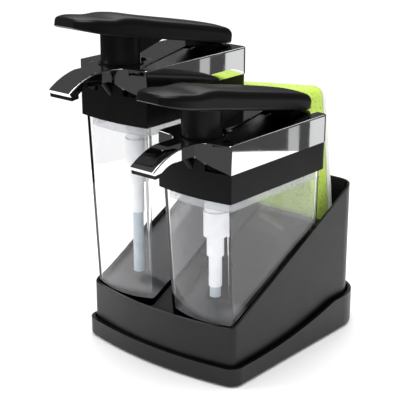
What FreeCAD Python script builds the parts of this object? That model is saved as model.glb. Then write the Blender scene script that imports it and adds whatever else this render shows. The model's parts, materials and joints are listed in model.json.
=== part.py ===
import FreeCAD, Part
import math
import os
import re
import Sketcher

# Soap pump caddy: two lever dispensers on a ramped caddy with a sponge slot, standing in a drip tray.
# Millimetres. X runs across the two dispensers, -Y is the spout side, Z is up from the table.

# Driving sizes
SIZES = {
    # Whole layout
    "dispenser_gap": 9.0,
    "short_lift": 123.1,
    "tall_lift": 158.3,
    "seat_gap": 0.15,
    "overrun": 6.0,
    "tolerance": 0.001,
    "straight_share": 0.9,
    # Drip tray
    "pad_stand": 0.8,
    "pad_radius": 6.5,
    "pad_thickness": 1.9,
    "pad_inset": 17.0,
    "tray_margin": 4.0,
    "tray_front": 2.5,
    "tray_back_margin": 9.0,
    "tray_bow": 8.0,
    "tray_wall": 2.2,
    "tray_floor": 2.4,
    "tray_front_corner": 9.0,
    "tray_back_corner": 26.0,
    "tray_foot_edge": 1.6,
    "rim_front_height": 13.2,
    "rim_back_height": 24.5,
    "rim_rise_start": 25.0,
    "rim_rise_inset": 38.0,
    "rim_sweep": 2.6,
    # Caddy body
    "body_side_clearance": 1.5,
    "body_front": 5.5,
    "slot_depth": 35.4,
    "body_bow": 8.0,
    "body_wall": 1.6,
    "body_front_corner": 5.0,
    "body_back_corner": 15.0,
    "wall_front_height": 39.0,
    "wall_back_height": 103.0,
    "wall_rise_inset": 10.0,
    "ramp_drop": 5.0,
    "ramp_plate": 2.4,
    "slot_clearance": 3.6,
    "slot_floor_height": 53.0,
    "divider_half_width": 5.5,
    "divider_height": 4.0,
    "divider_start": 45.0,
    "drain_length": 22.0,
    "drain_width": 5.0,
    "drain_step": 12.0,
    "drain_count": 7,
    # Sponge
    "sponge_width": 75.0,
    "sponge_height": 110.0,
    "sponge_foam": 20.0,
    "sponge_backing": 4.5,
    "sponge_corner": 7.0,
    "sponge_clearance": 4.0,
    "sponge_left": -25.0,
    "sponge_lean": 6.0,
    # Bottles
    "bottle_lip": 2.1,
    "bottle_taper": 2.0,
    "bottle_front": 1.5,
    "bottle_foot_front": 7.6,
    "bottle_inset": 1.5,
    "bottle_back_taper": 0.5,
    "bottle_bow": 3.0,
    "bottle_wall": 2.6,
    "bottle_floor": 3.2,
    "bottle_corner": 2.5,
    "bottle_back_corner": 6.0,
    "inner_corner": 0.8,
    "bottle_in_collar": 7.5,
    # Collar and lid
    "collar_half_width": 29.0,
    "collar_depth": 100.4,
    "collar_bow": 3.0,
    "collar_height": 18.3,
    "collar_corner": 1.4,
    "collar_back_corner": 6.0,
    "collar_wall": 2.4,
    "collar_fit": 0.35,
    "lid_rise": 7.8,
    "lid_plate": 3.0,
    "arch_half_width": 11.0,
    "arch_height": 6.2,
    "arch_round": 3.0,
    "plug_reach": 7.0,
    "plug_wall": 2.0,
    "plug_fit": 0.8,
    "plug_front_fit": 1.8,
    # Chrome cover and spout
    "cover_height": 18.0,
    "cover_wall": 1.8,
    "cover_corner": 1.4,
    "cover_back_corner": 4.5,
    "cover_edge": 0.9,
    "cover_shoulder_width": 18.0,
    "cover_shoulder": -1.8,
    "cover_sweep": 3.0,
    "spout_half_width": 9.4,
    "spout_root": -13.0,
    "spout_level_end": -24.0,
    "spout_nose": -46.0,
    "spout_nose_drop": 9.0,
    "spout_tip": -44.5,
    "spout_tip_drop": 11.2,
    "spout_heel": -38.5,
    "spout_heel_drop": 10.6,
    "spout_under_start": -26.0,
    "spout_thickness": 7.2,
    "spout_crown": 1.4,
    "spout_under_sweep": 1.2,
    "spout_arch_sweep": 1.8,
    "nozzle_fit": 0.4,
    "nozzle_start": -15.0,
    "nozzle_bore_radius": 1.2,
    "nozzle_bend": -31.0,
    "nozzle_outlet_radius": 2.0,
    "nozzle_outlet_inset": 3.3,
    "nozzle_lip": 1.2,
    "lip_gap": 0.15,
    "lip_height": 2.4,
    "lip_lean": 0.4,
    # Deck opening and guide ring
    "deck_hole_gap": 0.5,
    "deck_hole_travel": 0.5,
    "web_slot_end": 28.5,
    "ring_width": 1.2,
    "ring_height": 0.6,
    # Lever, in its own frame: pivot at the origin, plate level, front towards -Y
    "pivot_inset": 10.4,
    "pivot_height": 6.7,
    "lever_tilt": 10.0,
    "lever_half_width": 17.0,
    "lever_under": -3.6,
    "lever_rear": 9.0,
    "lever_rear_inner_round": 1.5,
    "lever_crown": 0.8,
    "lever_top_round_share": 0.42,
    "lever_foot_round_share": 0.14,
    "lever_wall": 2.6,
    "frame_plate": 3.0,
    "frame_fit": 0.2,
    "frame_end_gap": 2.5,
    "frame_rear": -6.0,
    "column_radius": 12.55,
    "column_wall": 2.0,
    "column_centre": 7.6,
    "column_dip": 1.2,
    "column_slot_gap": 0.8,
    "web_length": 22.0,
    "web_depth": 11.0,
    "web_offset": 4.6,
    "web_thickness": 2.0,
    "web_gap": 0.8,
    "cheek_inner": 7.0,
    "cheek_thickness": 3.0,
    "cheek_low": -3.0,
    "cheek_high": 2.2,
    "cheek_rear": 2.3,
    "cheek_front": -12.0,
    # Hinge
    "pin_radius": 1.5,
    "pin_half_length": 12.5,
    "running_gap": 0.05,
    "ear_half_width": 5.5,
    "ear_radius": 3.2,
    "foot_half_width": 12.0,
    "foot_front": 7.0,
    "foot_rear": 3.2,
    "foot_thickness": 1.8,
    # Pump
    "pump_place": 22.5,
    "stem_radius": 2.5,
    "stem_bore_radius": 1.2,
    "stem_port": 18.6,
    "port_radius": 1.0,
    "boss_radius": 6.2,
    "boss_reach": 12.0,
    "nut_radius": 7.2,
    "nut_skirt_radius": 7.9,
    "nut_shoulder": 15.2,
    "nut_reach": 31.6,
    "flange_thickness": 2.2,
    "barrel_radius": 5.7,
    "barrel_reach": 45.0,
    "valve_radius": 4.4,
    "valve_reach": 66.0,
    "spigot_radius": 2.9,
    "spigot_reach": 70.0,
    "chamber_radius": 4.5,
    "chamber_reach": 41.0,
    "pocket_radius": 3.0,
    "pocket_reach": 43.0,
    "seat_reach": 46.0,
    "inlet_radius": 1.6,
    "ball_radius": 2.5,
    "seal_top": 13.0,
    "seal_length": 6.0,
    "spring_radius": 3.7,
    "spring_wire_radius": 0.4,
    "spring_turns": 6,
    "housing_radius": 5.5,
    "housing_top": 22.0,
    "housing_cap": 2.0,
    "housing_bore_radius": 3.7,
    "housing_flange_radius": 10.0,
    "housing_flange": 2.0,
    "dip_tube_radius": 3.7,
    "dip_tube_clearance": 2.0,
    "duct_radius": 1.9,
    "duct_bore_radius": 1.2,
    "duct_fit": 0.3,
    "duct_rise": 5.6,
    "duct_bend_start": 0.0,
    "duct_bend_end": -12.0,
    "duct_end": -22.0,
    "duct_level": 4.8,
    "duct_turn": 6.0,
}

# Lever sections, from the rear to the tip: place along the lever, half width, underside, top
LEVER_SECTIONS = {
    "heel": (12.6, 11.0, -3.4, 1.0),
    "roll": (11.4, 14.2, -4.1, 3.4),
    "hump": (7.5, 16.3, -4.4, 5.4),
    "saddle": (0.0, 17.0, -4.4, 6.6),
    "spine": (-20.0, 17.0, -4.2, 7.6),
    "flank": (-50.0, 17.0, -3.8, 8.3),
    "crest": (-80.0, 17.0, -3.3, 9.2),
    "brow": (-90.0, 17.0, -3.1, 9.4),
    "step": (-97.0, 17.0, -2.9, 8.5),
    "dip": (-104.0, 17.0, -2.7, 7.2),
    "rest": (-113.0, 16.8, -2.4, 6.8),
    "jowl": (-121.5, 15.4, -1.8, 6.2),
    "lip": (-128.0, 12.2, -1.0, 5.2),
    "tip": (-131.6, 7.6, 0.0, 4.2),
}
for section, sizes in LEVER_SECTIONS.items():
    SIZES.update(zip((f"{section}_at", f"{section}_half", f"{section}_low", f"{section}_high"), sizes))

# Places that follow from the driving sizes
PLACES = {
    "dispenser_pitch": "2 * collar_half_width + dispenser_gap",
    "bottle_half_width": "collar_half_width - bottle_lip",
    "bottle_foot_half_width": "bottle_half_width - bottle_taper",
    "bottle_back": "collar_depth - bottle_inset",
    "bottle_foot_back": "bottle_back - bottle_back_taper",
    "body_half_width": "dispenser_pitch / 2 + bottle_foot_half_width + body_side_clearance + body_wall",
    "slot_front": "collar_depth + slot_clearance",
    "sponge_front": "slot_front + sponge_clearance",
    "body_back": "slot_front + slot_depth + body_wall",
    "wall_rise_end": "body_back - wall_rise_inset",
    "tray_half_width": "body_half_width + tray_margin",
    "tray_back": "body_back + tray_back_margin",
    "rim_rise_end": "tray_back - rim_rise_inset",
    "front_line": "-(tray_back + spout_nose) / 2",
    "tray_floor_top": "pad_stand + tray_floor",
    "body_foot": "tray_floor_top + seat_gap",
    "ramp_slope": "(wall_back_height - wall_front_height) / (wall_rise_end - body_front)",
    "ramp_foot": "wall_front_height - ramp_drop",
    "ramp_end": "ramp_foot + (slot_front - body_front) * ramp_slope",
    "bottle_foot": "ramp_foot + (bottle_foot_front - bottle_bow - body_front) * ramp_slope + seat_gap",
    "deck": "collar_height + cover_height",
    "lid_top": "lid_rise + lid_plate",
    "pivot_back": "collar_depth - pivot_inset",
    "pivot_level": "deck + pivot_height",
    "deck_hole_radius": "column_radius + deck_hole_gap",
    "deck_hole_front": "column_centre",
    "deck_hole_back": "column_centre + deck_hole_travel",
    "web_slot_half_width": "web_offset + web_thickness + web_gap",
    "column_behind": "column_centre - pivot_back",
    "column_below": "-pivot_height - column_dip",
    "column_foot": "column_behind * cos(lever_tilt) - column_below * sin(lever_tilt)",
    "column_low": "column_behind * sin(lever_tilt) + column_below * cos(lever_tilt)",
    "column_length": "(lever_under + column_radius * sin(lever_tilt) - column_low) / cos(lever_tilt)",
    "column_root": "column_foot - (lever_under - column_low) * tan(lever_tilt)",
    "frame_front": "dip_at + frame_end_gap",
    "stem_back": "pump_place + stem_radius",
    "stem_top": "pivot_level + (pivot_back - stem_back) * tan(lever_tilt) + lever_under / cos(lever_tilt) - seat_gap",
    "duct_low": "lid_top + duct_rise",
    "duct_high": "deck - duct_level",
    "outlet_place": "spout_tip + nozzle_outlet_inset",
    "outlet_level": "deck - spout_tip_drop",
    "seat_lean": "(pocket_radius - inlet_radius) / (seat_reach - pocket_reach)",
    "ball_level": "(ball_radius * sqrt(1 + seat_lean^2) - pocket_radius) / seat_lean - pocket_reach",
}

# The document and its sheet
DOC = FreeCAD.newDocument("soap_pump_caddy")
SHEET = DOC.addObject("Spreadsheet::Sheet", "Sizes")
CELLS = {alias: str(size) for alias, size in SIZES.items()}
CELLS.update({alias: "=" + formula for alias, formula in PLACES.items()})
for row, (alias, content) in enumerate(CELLS.items(), start=1):
    SHEET.set(f"A{row}", alias)
    SHEET.set(f"B{row}", content)
    SHEET.setAlias(f"B{row}", alias)
DOC.recompute()

ALIAS = re.compile(r"[a-z][a-z_]*")
NODES = []


# Links and values

def link(text):
    """The expression with each of the sheet's aliases written as a cell of the sheet."""
    return ALIAS.sub(lambda word: "Sizes." + word[0] if word[0] in CELLS else word[0], text)


def value(text):
    """The number that an expression gives now."""
    return float(SHEET.evalExpression(link(text)))


def bind(item, **expressions):
    """Ties properties of an object to expressions of the sheet."""
    for name, text in expressions.items():
        item.setExpression(name.replace("__", "."), link(text))


def place(item, x="0", y="0", z="0"):
    """Ties an object's place to the sheet."""
    bind(item, Placement__Base__x=x, Placement__Base__y=y, Placement__Base__z=z)
    return item


# Sketches

def new_body(name):
    return DOC.addObject("PartDesign::Body", name)


def sketch(body, role, lift="0"):
    """A sketch on one of the body's own origin planes, lifted along the plane's normal."""
    plane = next(item for item in body.Origin.OriginFeatures if item.Role == role)
    drawing = body.newObject("Sketcher::SketchObject", body.Name + "_sketch")
    drawing.AttachmentSupport = [(plane, "")]
    drawing.MapMode = "FlatFace"
    bind(drawing, AttachmentOffset__Base__z=lift)
    return drawing


def tie(drawing, constraints):
    """Adds constraints; each is a constraint's arguments and the expression of its value, or None."""
    for arguments, text in constraints:
        if text is None:
            drawing.addConstraint(Sketcher.Constraint(*arguments))
        else:
            index = drawing.addConstraint(Sketcher.Constraint(*arguments, value(text)))
            drawing.setExpression(f"Constraints[{index}]", link(text))


def outline(drawing, corners):
    """A closed outline, counter-clockwise, through corners of (x, y) or (x, y, bow).

    bow is how far the stretch to the next corner arches outwards; below zero it is hollow."""
    first = drawing.GeometryCount
    spots = [FreeCAD.Vector(value(corner[0]), value(corner[1]), 0) for corner in corners]
    begin_end = []
    arcs = []
    for index, corner in enumerate(corners):
        start = spots[index]
        end = spots[(index + 1) % len(corners)]
        if len(corner) == 2:
            drawing.addGeometry(Part.LineSegment(start, end))
            begin_end.append((1, 2))
            continue
        bow = value(corner[2])
        outwards = FreeCAD.Vector(end.y - start.y, start.x - end.x, 0).normalize()
        drawing.addGeometry(Part.Arc(start, (start + end) * 0.5 + outwards * bow, end))
        begin_end.append((1, 2) if bow > 0 else (2, 1))
        after = corners[(index + 1) % len(corners)]
        chord = f"(({after[0]}) - ({corner[0]}))^2 + (({after[1]}) - ({corner[1]}))^2"
        arcs.append((index, f"abs(({chord}) / (8 * ({corner[2]})) + ({corner[2]}) / 2)"))
    constraints = []
    for index, corner in enumerate(corners):
        after = (index + 1) % len(corners)
        here = (first + index, begin_end[index][0])
        constraints.append((("Coincident", first + index, begin_end[index][1], first + after,
                             begin_end[after][0]), None))
        constraints.append((("DistanceX", -1, 1, *here), corner[0]))
        constraints.append((("DistanceY", -1, 1, *here), corner[1]))
    for index, radius in arcs:
        constraints.append((("Radius", first + index), radius))
    tie(drawing, constraints)
    return drawing


def circle(drawing, x, y, radius):
    """A full circle in a sketch."""
    centre = FreeCAD.Vector(value(x), value(y), 0)
    index = drawing.addGeometry(Part.Circle(centre, FreeCAD.Vector(0, 0, 1), value(radius)))
    tie(drawing, [(("DistanceX", -1, 1, index, 3), x), (("DistanceY", -1, 1, index, 3), y),
                  (("Radius", index), radius)])
    return drawing


# Features

def pad(body, drawing, length, side="One side", reverse=False):
    feature = body.newObject("PartDesign::Pad", body.Name + "_pad")
    feature.Profile = drawing
    feature.SideType = side
    feature.Reversed = reverse
    bind(feature, Length=length)
    DOC.recompute([body])
    return feature


def pocket(body, drawing, length, side="One side", reverse=False):
    """A pocket that has to take something away."""
    before = body.Shape.Volume
    feature = body.newObject("PartDesign::Pocket", body.Name + "_pocket")
    feature.Profile = drawing
    feature.SideType = side
    feature.Reversed = reverse
    bind(feature, Length=length)
    DOC.recompute([body])
    if not body.Shape.Volume < before:
        raise ValueError(f"a pocket of {body.Name} cuts nothing")
    return feature


def revolve(body, drawing):
    feature = body.newObject("PartDesign::Revolution", body.Name + "_turned")
    feature.Profile = drawing
    feature.ReferenceAxis = (drawing, ["V_Axis"])
    feature.Angle = 360
    DOC.recompute([body])
    return feature


def loft(body, low, high):
    feature = body.newObject("PartDesign::AdditiveLoft", body.Name + "_loft")
    feature.Profile = low
    feature.Sections = [high]
    feature.Ruled = True
    DOC.recompute([body])
    return feature


def smooth_loft(body, drawings):
    feature = body.newObject("PartDesign::AdditiveLoft", body.Name + "_loft")
    feature.Profile = drawings[0]
    feature.Sections = drawings[1:]
    DOC.recompute([body])
    return feature


def round_edges(body, radius, wanted):
    """Fillets the edges of the body that the test picks."""
    base = body.Tip
    names = [f"Edge{number}" for number, edge in enumerate(base.Shape.Edges, start=1) if wanted(edge)]
    if not names:
        raise ValueError(f"no edge of {body.Name} to round")
    feature = body.newObject("PartDesign::Fillet", body.Name + "_fillet")
    feature.Base = (base, names)
    bind(feature, Radius=radius)
    DOC.recompute([body])
    return feature


def round_piece(item, name, radius, wanted):
    """A filleted copy of a built-up piece, on the edges that the test picks."""
    size = value(radius)
    chosen = [(number, size, size) for number, edge in enumerate(item.Shape.Edges, start=1) if wanted(edge)]
    if not chosen:
        raise ValueError(f"no edge of {name} to round")
    feature = DOC.addObject("Part::Fillet", name)
    feature.Base = item
    feature.Edges = chosen
    DOC.recompute([feature])
    return feature


def combine(kind, name, base, tool):
    """Part::Cut, Part::Fuse or Part::Common of two pieces."""
    feature = DOC.addObject(kind, name)
    feature.Base = base
    feature.Tool = tool
    feature.Refine = True
    DOC.recompute([feature])
    return feature


def finish(item, label):
    """Names a finished piece; its label is its node."""
    item.Label = label
    NODES.append(item)
    return item


# Edge tests

def upright(edge):
    """True for an edge that climbs from one level to another."""
    return edge.BoundBox.ZLength > value("straight_share") * edge.Length


def level_at(height):
    """A test for edges that lie flat at a height."""
    near = value("tolerance")

    def lies_there(edge):
        box_of = edge.BoundBox
        return abs(box_of.ZMin - height) < near and abs(box_of.ZMax - height) < near
    return lies_there


def prism(name, corners, half_width):
    """A side profile in Y and Z, drawn out evenly to both sides of the middle."""
    body = new_body(name)
    pad(body, outline(sketch(body, "YZ_Plane"), corners), f"2 * ({half_width})", side="Symmetric")
    return body


def slab(name, corners, low, height):
    """A plan outline, drawn up from a level."""
    body = new_body(name)
    pad(body, outline(sketch(body, "XY_Plane", low), corners), height)
    return body


def turned(name, corners):
    """A profile of (radius, height) corners, turned about the vertical axis."""
    body = new_body(name)
    revolve(body, outline(sketch(body, "XZ_Plane"), corners))
    return body


def bowed_plan(half_width, front, back, bow):
    """The plan outline that the tray, the body, the bottles and the lids share: square with a bowed front."""
    return [(f"-({half_width})", front, bow), (half_width, front), (half_width, back),
            (f"-({half_width})", back)]


def quarter_bow(radius):
    """How far a quarter circle arches from its chord."""
    return f"({radius}) * (1 - sqrt(1 / 2))"


def add_place(alias, formula):
    """Adds a place that follows from the driving sizes to the sheet."""
    CELLS[alias] = "=" + formula
    row = len(CELLS)
    SHEET.set(f"A{row}", alias)
    SHEET.set(f"B{row}", CELLS[alias])
    SHEET.setAlias(f"B{row}", alias)


def rounded_plan(name, half_width, front, back, bow, corner, back_corner):
    """A bowed plan whose corner arcs are tangent to the bow and to the sides."""
    add_place(f"{name}_bow_radius", f"((({half_width})^2 + ({bow})^2) / (2 * ({bow})))")
    add_place(f"{name}_bow_centre", f"{front} - {bow} + {name}_bow_radius")
    reach = f"({name}_bow_radius - ({corner}))"
    add_place(f"{name}_corner_y", f"{name}_bow_centre - sqrt({reach}^2 - ({half_width} - ({corner}))^2)")
    add_place(f"{name}_meet_x", f"({half_width} - ({corner})) * {name}_bow_radius / {reach}")
    add_place(f"{name}_meet_y",
              f"{name}_bow_centre + ({name}_corner_y - {name}_bow_centre) * {name}_bow_radius / {reach}")
    add_place(f"{name}_corner_chord",
              f"sqrt(({half_width} - {name}_meet_x)^2 + ({name}_corner_y - {name}_meet_y)^2)")
    add_place(f"{name}_corner_bow", f"({corner}) - sqrt(({corner})^2 - {name}_corner_chord^2 / 4)")
    add_place(f"{name}_front_bow", f"{name}_bow_radius - sqrt({name}_bow_radius^2 - {name}_meet_x^2)")
    add_place(f"{name}_back_bow", quarter_bow(back_corner))
    SHEET.recompute()
    inner = f"{half_width} - ({back_corner})"
    side_end = f"{back} - ({back_corner})"
    return [(f"-{name}_meet_x", f"{name}_meet_y", f"{name}_front_bow"),
            (f"{name}_meet_x", f"{name}_meet_y", f"{name}_corner_bow"),
            (half_width, f"{name}_corner_y"), (half_width, side_end, f"{name}_back_bow"),
            (inner, back), (f"-({inner})", back, f"{name}_back_bow"),
            (f"-({half_width})", side_end), (f"-({half_width})", f"{name}_corner_y", f"{name}_corner_bow")]


def tapered_block(name, foot, top):
    """A block between two plans, each (plan, level)."""
    body = new_body(name)
    low = outline(sketch(body, "XY_Plane", foot[1]), foot[0])
    high = outline(sketch(body, "XY_Plane", top[1]), top[0])
    loft(body, low, high)
    return body


def rounded_slab(name, plan, low, height, front_corner, back_corner):
    """A bowed plan drawn up from a level, with its upright corners rounded."""
    body = slab(name, plan, low, height)
    middle = body.Shape.BoundBox.Center.y
    round_edges(body, front_corner, lambda edge: upright(edge) and edge.CenterOfMass.y < middle)
    round_edges(body, back_corner, lambda edge: upright(edge) and edge.CenterOfMass.y > middle)
    return body


def box(name, x, y, z):
    """A plain block between the (low, high) limits of each axis."""
    block = DOC.addObject("Part::Box", name)
    bind(block, Length=f"({x[1]}) - ({x[0]})", Width=f"({y[1]}) - ({y[0]})", Height=f"({z[1]}) - ({z[0]})")
    return place(block, x[0], y[0], z[0])


def rod(name, axis, radius, length, x="0", y="0", z="0"):
    """A round rod that starts at a place and runs along an axis."""
    bar = DOC.addObject("Part::Cylinder", name)
    bar.Placement = FreeCAD.Placement(FreeCAD.Vector(), FreeCAD.Rotation(FreeCAD.Vector(0, 0, 1), axis))
    bind(bar, Radius=radius, Height=length)
    return place(bar, x, y, z)


def joined(name, pieces):
    """Several pieces as one object."""
    group = DOC.addObject("Part::MultiFuse", name)
    group.Shapes = pieces
    DOC.recompute([group])
    return group


# Base: drip tray, anti-slip pads, caddy body

def ramp_line(y, rise="0"):
    """Height of the ramp's upper face at a place along Y."""
    return f"ramp_foot + (({y}) - body_front) * ramp_slope + ({rise})"


def tray_pads():
    """Four discs let into the tray's underside."""
    pads = []
    for side in ("-1", "1"):
        for end, y in (("front", "tray_front + pad_inset"), ("back", "tray_back - pad_inset - pad_inset / 2")):
            x = f"{side} * (tray_half_width - pad_inset)"
            pads.append(rod(f"pad_{end}", FreeCAD.Vector(0, 0, 1), "pad_radius", "pad_thickness", x, y))
    return joined("pads", pads)


def drip_tray():
    """A bowed tray whose rim rises towards the back."""
    outer = rounded_slab("tray_outer", bowed_plan("tray_half_width", "tray_front", "tray_back", "tray_bow"),
                         "pad_stand", "rim_back_height + overrun - pad_stand",
                         "tray_front_corner", "tray_back_corner")
    round_edges(outer, "tray_foot_edge", level_at(value("pad_stand")))
    inner = rounded_slab("tray_inner",
                         bowed_plan("tray_half_width - tray_wall", "tray_front + tray_wall",
                                    "tray_back - tray_wall", "tray_bow"),
                         "tray_floor_top", "rim_back_height + 2 * overrun",
                         "tray_front_corner - tray_wall", "tray_back_corner - tray_wall")
    start = "tray_front - tray_bow - overrun"
    end = "tray_back + overrun"
    above = prism("tray_rim_cut", [
        (start, "rim_front_height"), ("rim_rise_start", "rim_front_height", "rim_sweep"),
        ("rim_rise_end", "rim_back_height"), (end, "rim_back_height"),
        (end, "rim_back_height + 3 * overrun"), (start, "rim_back_height + 3 * overrun")],
        "tray_half_width + overrun")
    shell = combine("Part::Cut", "tray_shell", outer, inner)
    trimmed = combine("Part::Cut", "tray_trimmed", shell, above)
    return combine("Part::Cut", "tray", trimmed, tray_pads())


def drain_slots():
    """A row of slots through the sponge slot's floor."""
    count = int(value("drain_count"))
    slots = []
    for number in range(count):
        x = f"({number} - (drain_count - 1) / 2) * drain_step - drain_width / 2"
        y = "(slot_front + body_back - body_wall - drain_length) / 2"
        slots.append(box("drain", (x, f"{x} + drain_width"), (y, f"{y} + drain_length"),
                         ("slot_floor_height - ramp_plate - overrun", "slot_floor_height + overrun")))
    return joined("drains", slots)


def caddy_body():
    """A moulded shell: bowed walls with a climbing rim, ramp, slot for the sponge, hollow underside."""
    start = "body_front - body_bow - overrun"
    end = "body_back + overrun"
    high = "wall_back_height + 3 * overrun"
    outer = rounded_slab("body_outer", bowed_plan("body_half_width", "body_front", "body_back", "body_bow"),
                         "body_foot", "wall_back_height + overrun - body_foot",
                         "body_front_corner", "body_back_corner")
    above = prism("body_rim_cut", [
        (start, "wall_front_height"), ("body_front", "wall_front_height"),
        ("wall_rise_end", "wall_back_height"), (end, "wall_back_height"), (end, high), (start, high)],
        "body_half_width + overrun")
    core = rounded_slab("body_core",
                        bowed_plan("body_half_width - body_wall", "body_front + body_wall",
                                   "body_back - body_wall", "body_bow"),
                        "body_foot - overrun", "wall_back_height + 3 * overrun - body_foot",
                        "body_front_corner - body_wall", "body_back_corner - body_wall")
    open_top = prism("body_open_top", [
        (start, ramp_line(start)), ("slot_front", "ramp_end"), ("slot_front", "slot_floor_height"),
        (end, "slot_floor_height"), (end, high), (start, high)], "body_half_width")
    partition = "slot_front - body_wall"
    under = prism("body_under", [
        (start, "body_foot - 2 * overrun"), (end, "body_foot - 2 * overrun"),
        (end, "slot_floor_height - ramp_plate"), (partition, "slot_floor_height - ramp_plate"),
        (partition, ramp_line(partition, "-ramp_plate")), (start, ramp_line(start, "-ramp_plate"))],
        "body_half_width")
    divider = prism("divider", [
        ("divider_start", ramp_line("divider_start", "-ramp_plate / 2")),
        ("bottle_foot_back", ramp_line("bottle_foot_back", "-ramp_plate / 2")),
        ("bottle_foot_back", ramp_line("bottle_foot_back", "divider_height")),
        ("divider_start + divider_height", ramp_line("divider_start + divider_height", "divider_height"))],
        "divider_half_width")
    block = combine("Part::Cut", "body_block", outer, above)
    opened = combine("Part::Cut", "body_opened", block,
                     combine("Part::Common", "body_top_space", core, open_top))
    hollow = combine("Part::Cut", "body_hollow", opened,
                     combine("Part::Common", "body_under_space", core, under))
    ribbed = combine("Part::Fuse", "body_ribbed", hollow, divider)
    return combine("Part::Cut", "caddy", ribbed, drain_slots())


# Sponge

def sponge_layer(name, thickness):
    """A rounded slab that stands on its short edge."""
    body = new_body(name)
    face = outline(sketch(body, "XZ_Plane"), [("0", "0"), ("sponge_width", "0"),
                                              ("sponge_width", "sponge_height"), ("0", "sponge_height")])
    pad(body, face, thickness, reverse=True)
    straight = value("straight_share")
    round_edges(body, "sponge_corner", lambda edge: edge.BoundBox.YLength > straight * edge.Length)
    return body


def stand_sponge(layer, y):
    """Leans a layer by the sponge's angle, with its rounded corner on the slot's floor."""
    lean = FreeCAD.Rotation(FreeCAD.Vector(0, 1, 0), -value("sponge_lean"))
    layer.Placement = FreeCAD.Placement(FreeCAD.Vector(), lean)
    bind(layer, Placement__Rotation__Angle="-sponge_lean")
    drop = "sponge_corner * (cos(sponge_lean) + sin(sponge_lean) - 1)"
    return place(layer, "sponge_left", y, f"slot_floor_height + seat_gap - {drop}")


# Bottles

BOTTLE_FOOT = rounded_plan("foot_outer", "bottle_foot_half_width", "bottle_foot_front", "bottle_foot_back",
                           "bottle_bow", "bottle_corner", "bottle_back_corner")
BOTTLE_TOP = rounded_plan("mouth_outer", "bottle_half_width", "bottle_front", "bottle_back",
                          "bottle_bow", "bottle_corner", "bottle_back_corner")
BOTTLE_INNER_FOOT = rounded_plan("foot_inner", "bottle_foot_half_width - bottle_wall",
                                 "bottle_foot_front + bottle_wall", "bottle_foot_back - bottle_wall",
                                 "bottle_bow", "inner_corner", "bottle_back_corner - bottle_wall")
BOTTLE_INNER_TOP = rounded_plan("mouth_inner", "bottle_half_width - bottle_wall", "bottle_front + bottle_wall",
                                "bottle_back - bottle_wall", "bottle_bow", "inner_corner",
                                "bottle_back_corner - bottle_wall")


def bottle(prefix, lift):
    """A clear bottle with a bowed front that leans back and a bottom that follows the ramp."""
    foot_level = "bottle_foot - overrun"
    top_level = f"{lift} + bottle_in_collar"
    start = "body_front - body_bow - overrun"
    end = "slot_front + overrun"

    def below(name, rise):
        return prism(name, [(start, "0"), (end, "0"), (end, ramp_line(end, rise)),
                            (start, ramp_line(start, rise))], "bottle_half_width + overrun")

    outer = tapered_block(prefix + "_bottle_outer", (BOTTLE_FOOT, foot_level), (BOTTLE_TOP, top_level))
    inner = tapered_block(prefix + "_bottle_inner", (BOTTLE_INNER_FOOT, foot_level), (BOTTLE_INNER_TOP, top_level))
    solid = combine("Part::Cut", prefix + "_bottle_solid", outer, below(prefix + "_under", "seat_gap"))
    space = combine("Part::Cut", prefix + "_bottle_space", inner,
                    below(prefix + "_floor", "seat_gap + bottle_floor"))
    return combine("Part::Cut", prefix + "_bottle_shell", solid, space)


# Lid: collar and plug

def collar(prefix):
    """The lid: a band over the bottle's rim, a plate with the pump's boss, and a wall under the spout."""
    plan = bowed_plan("collar_half_width", "0", "collar_depth", "collar_bow")
    inner_plan = bowed_plan("collar_half_width - collar_wall", "collar_wall", "collar_depth - collar_wall",
                            "collar_bow")
    inner_back_corner = "collar_back_corner - collar_wall"
    band = rounded_slab(prefix + "_band", plan, "0", "collar_height", "collar_corner", "collar_back_corner")
    skirt = rounded_slab(prefix + "_skirt_space",
                         bowed_plan("bottle_half_width + collar_fit", "bottle_front - collar_fit",
                                    "bottle_back + collar_fit", "bottle_bow"),
                         "-overrun", "lid_rise + overrun", "bottle_corner", "bottle_back_corner")
    well = rounded_slab(prefix + "_well", inner_plan, "lid_top", "collar_height", "inner_corner",
                        inner_back_corner)
    wall = combine("Part::Cut", prefix + "_arch_wall",
                   rounded_slab(prefix + "_arch_block", plan, "lid_top", "collar_height + arch_height",
                                "collar_corner", "collar_back_corner"), well)
    arch = new_body(prefix + "_arch")
    crown = "collar_height + arch_height"
    face = outline(sketch(arch, "XZ_Plane", "-collar_wall"), [
        ("-arch_half_width", "lid_top"), ("arch_half_width", "lid_top"),
        ("arch_half_width", f"{crown} - arch_round", quarter_bow("arch_round")),
        ("arch_half_width - arch_round", crown),
        ("arch_round - arch_half_width", crown, quarter_bow("arch_round")),
        ("-arch_half_width", f"{crown} - arch_round")])
    pad(arch, face, "collar_bow + collar_wall + overrun")
    boss = rod(prefix + "_boss", FreeCAD.Vector(0, 0, 1), "boss_radius", "lid_top + boss_reach",
               y="pump_place", z="-boss_reach")
    bore = rod(prefix + "_boss_bore", FreeCAD.Vector(0, 0, 1), "stem_radius + running_gap",
               "lid_top + boss_reach + 2 * overrun", y="pump_place", z="-boss_reach - overrun")
    passage = DOC.addObject("Part::Feature", prefix + "_passage")
    passage.Shape = duct_pipe("duct_radius + duct_fit")
    shell = combine("Part::Cut", prefix + "_band_open", combine("Part::Cut", prefix + "_band_skirt", band, skirt),
                    well)
    arched = combine("Part::Fuse", prefix + "_band_arched", shell,
                     combine("Part::Common", prefix + "_arch_piece", wall, arch))
    bossed = combine("Part::Fuse", prefix + "_band_bossed", arched, boss)
    return combine("Part::Cut", prefix + "_lid", bossed, joined(prefix + "_lid_cuts", [bore, passage]))


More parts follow.
